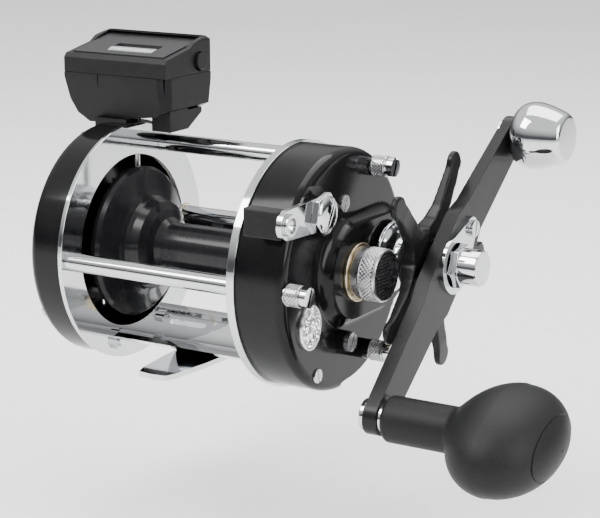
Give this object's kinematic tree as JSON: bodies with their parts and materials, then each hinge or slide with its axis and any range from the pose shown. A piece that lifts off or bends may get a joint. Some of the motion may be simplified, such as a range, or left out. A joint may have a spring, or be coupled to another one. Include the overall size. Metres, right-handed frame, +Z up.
{
  "type": "trolling reel",
  "caption": "Round side-plate trolling reel with chrome frame rings, star drag, counterbalanced crank handle, free-spool thumb lever, level wind and a line counter on its left cup.",
  "frame": {"origin": "middle of the foot's underside, which rests in a rod's reel seat", "axes": "+X along the spool axis to the handle side, +Y forward up the rod, away from the angler, +Z up"},
  "size_m": [0.1665, 0.1005, 0.1026],
  "materials": {
    "black_gloss": "gloss black stove enamel",
    "chrome": "polished chrome plate",
    "steel": "turned stainless steel",
    "brass": "machined brass",
    "satin_black": "satin black anodised alloy",
    "anodised_spool": "black anodised aluminium",
    "counter_plastic": "matte black moulded plastic",
    "counter_plate": "satin black label plate",
    "lens": "clear moulded lens",
    "white_plastic": "white number wheels",
    "nylon": "natural nylon gears",
    "grip_rubber": "soft-touch black rubber",
    "pad_rubber": "chequered black rubber",
    "brake_fibre": "brown brake fibre"
  },
  "bodies": {
    "frame": {"left_frame_ring": "chrome", "right_frame_ring": "chrome", "frame_pillars": "chrome", "reel_foot": "chrome", "foot_rivets": "chrome", "left_side_cup": "black_gloss", "case_screws": "steel", "right_side_cup": "black_gloss", "thumb_screws": "chrome", "plate_screws": "steel", "badge": "steel", "level_wind_tube": "chrome", "level_wind_bushes": "brass", "gear_axles": "steel", "bridge_plate": "steel", "ball_bearings": "steel", "cap_washer": "brass", "counter_base": "counter_plastic", "counter_cover": "counter_plastic", "counter_bezel": "counter_plate", "counter_window": "lens"},
    "spool": {"spool": "anodised_spool", "spool_shaft": "steel", "spool_gear": "nylon", "click_wheel": "steel", "brake_blocks": "brake_fibre"},
    "worm": {"worm_shaft": "steel", "worm_gear": "nylon"},
    "idler": {"idler_gear": "nylon"},
    "line_guide": {"line_guide": "chrome", "guide_pawl": "brass"},
    "crank": {"drive_shaft": "steel", "main_gear": "brass", "drag_washers": "brake_fibre", "ratchet_wheel": "steel", "thrust_collar": "chrome", "handle_arm": "satin_black", "nut_retainer": "chrome", "retainer_screw": "chrome", "handle_nut": "chrome", "counterweight_knob": "chrome", "grip_spindle": "chrome", "grip_washer": "chrome"},
    "star": {"star_drag": "satin_black"},
    "grip": {"grip": "grip_rubber", "grip_end_cap": "grip_rubber"},
    "yoke": {"pinion_yoke": "steel"},
    "pinion": {"pinion": "brass"},
    "pawl": {"reverse_pawl": "steel"},
    "lever": {"clutch_lever": "chrome", "thumb_pad": "pad_rubber", "lever_pivot_bolt": "chrome"},
    "cap": {"tension_cap": "chrome"},
    "clicker": {"clicker_button": "satin_black"},
    "units": {"units_wheel": "white_plastic"},
    "tens": {"tens_wheel": "white_plastic"},
    "hundreds": {"hundreds_wheel": "white_plastic"},
    "counter_drive": {"counter_drive_shaft": "steel"},
    "counter_lay": {"counter_lay_shaft": "steel"},
    "reset": {"reset_button": "counter_plastic"}
  },
  "joints": [
    {"name": "handle_turn", "type": "hinge", "parent": "frame", "child": "crank", "pos_m": [0.06, 0.0172, 0.0303], "axis": [1, 0, 0], "continuous": true},
    {"name": "spool_spin", "type": "hinge", "parent": "frame", "child": "spool", "pos_m": [0, 0, 0.0295], "axis": [1, 0, 0], "continuous": true},
    {"name": "pinion_spin", "type": "hinge", "parent": "yoke", "child": "pinion", "pos_m": [0.035, 0, 0.0295], "axis": [1, 0, 0], "continuous": true},
    {"name": "idler_spin", "type": "hinge", "parent": "frame", "child": "idler", "pos_m": [-0.034, 0.01662, 0.03194], "axis": [1, 0, 0], "continuous": true},
    {"name": "worm_spin", "type": "hinge", "parent": "frame", "child": "worm", "pos_m": [-0.031, 0.026, 0.031], "axis": [1, 0, 0], "continuous": true},
    {"name": "counter_drive_spin", "type": "hinge", "parent": "frame", "child": "counter_drive", "pos_m": [-0.0293, 0.0054, 0.0295], "axis": [0, 0, 1], "continuous": true},
    {"name": "counter_lay_spin", "type": "hinge", "parent": "frame", "child": "counter_lay", "pos_m": [-0.0293, 0.0092, 0.06914], "axis": [1, 0, 0], "continuous": true},
    {"name": "units_spin", "type": "hinge", "parent": "frame", "child": "units", "pos_m": [-0.027, 0.0099, 0.0761], "axis": [1, 0, 0], "continuous": true},
    {"name": "tens_spin", "type": "hinge", "parent": "frame", "child": "tens", "pos_m": [-0.032, 0.0099, 0.0761], "axis": [1, 0, 0], "continuous": true},
    {"name": "hundreds_spin", "type": "hinge", "parent": "frame", "child": "hundreds", "pos_m": [-0.036, 0.0099, 0.0761], "axis": [1, 0, 0], "continuous": true},
    {"name": "grip_spin", "type": "hinge", "parent": "crank", "child": "grip", "pos_m": [0.08, -0.01919, -0.00281], "axis": [1, 0, 0], "continuous": true},
    {"name": "guide_slide", "type": "slide", "parent": "frame", "child": "line_guide", "axis": [1, 0, 0], "range_m": [-0.03, 0.004]},
    {"name": "clutch_press", "type": "hinge", "parent": "frame", "child": "lever", "pos_m": [0.045, -0.0182, 0.0487], "axis": [1, 0, 0], "range_deg": [0, 12], "stiffness_Nm_per_rad": 0.02, "springref_deg": -11.46},
    {"name": "yoke_slide", "type": "slide", "parent": "frame", "child": "yoke", "axis": [1, 0, 0], "range_m": [0, 0.0028]},
    {"name": "star_turn", "type": "hinge", "parent": "crank", "child": "star", "pos_m": [0.056, 0.0172, 0.0303], "axis": [1, 0, 0], "range_deg": [-60, 180]},
    {"name": "cap_turn", "type": "hinge", "parent": "frame", "child": "cap", "pos_m": [0.05, 0, 0.0295], "axis": [1, 0, 0], "range_deg": [-90, 180]},
    {"name": "reverse_pawl_tilt", "type": "hinge", "parent": "frame", "child": "pawl", "pos_m": [0.0335, 0.013, 0.0165], "axis": [1, 0, 0], "range_deg": [0, 12]},
    {"name": "clicker_slide", "type": "slide", "parent": "frame", "child": "clicker", "axis": [0, 0, 1], "range_m": [0, 0.003]},
    {"name": "reset_press", "type": "slide", "parent": "frame", "child": "reset", "axis": [-1, 0, 0], "range_m": [0, 0.0008], "stiffness_N_per_m": 100}
  ],
  "couplings": [
    {"joint": "spool_spin", "follows": "handle_turn", "ratio": -4.0909},
    {"joint": "pinion_spin", "follows": "handle_turn", "ratio": -4.0909},
    {"joint": "idler_spin", "follows": "handle_turn", "ratio": 1.3636},
    {"joint": "worm_spin", "follows": "handle_turn", "ratio": -1.461},
    {"joint": "counter_drive_spin", "follows": "handle_turn", "ratio": -0.58442},
    {"joint": "counter_lay_spin", "follows": "handle_turn", "ratio": -0.083488},
    {"joint": "units_spin", "follows": "handle_turn", "ratio": 0.033395},
    {"joint": "tens_spin", "follows": "handle_turn", "ratio": 0.0033395},
    {"joint": "hundreds_spin", "follows": "handle_turn", "ratio": 0.00033395},
    {"joint": "yoke_slide", "follows": "clutch_press", "m_per_rad": 0.013356}
  ]
}
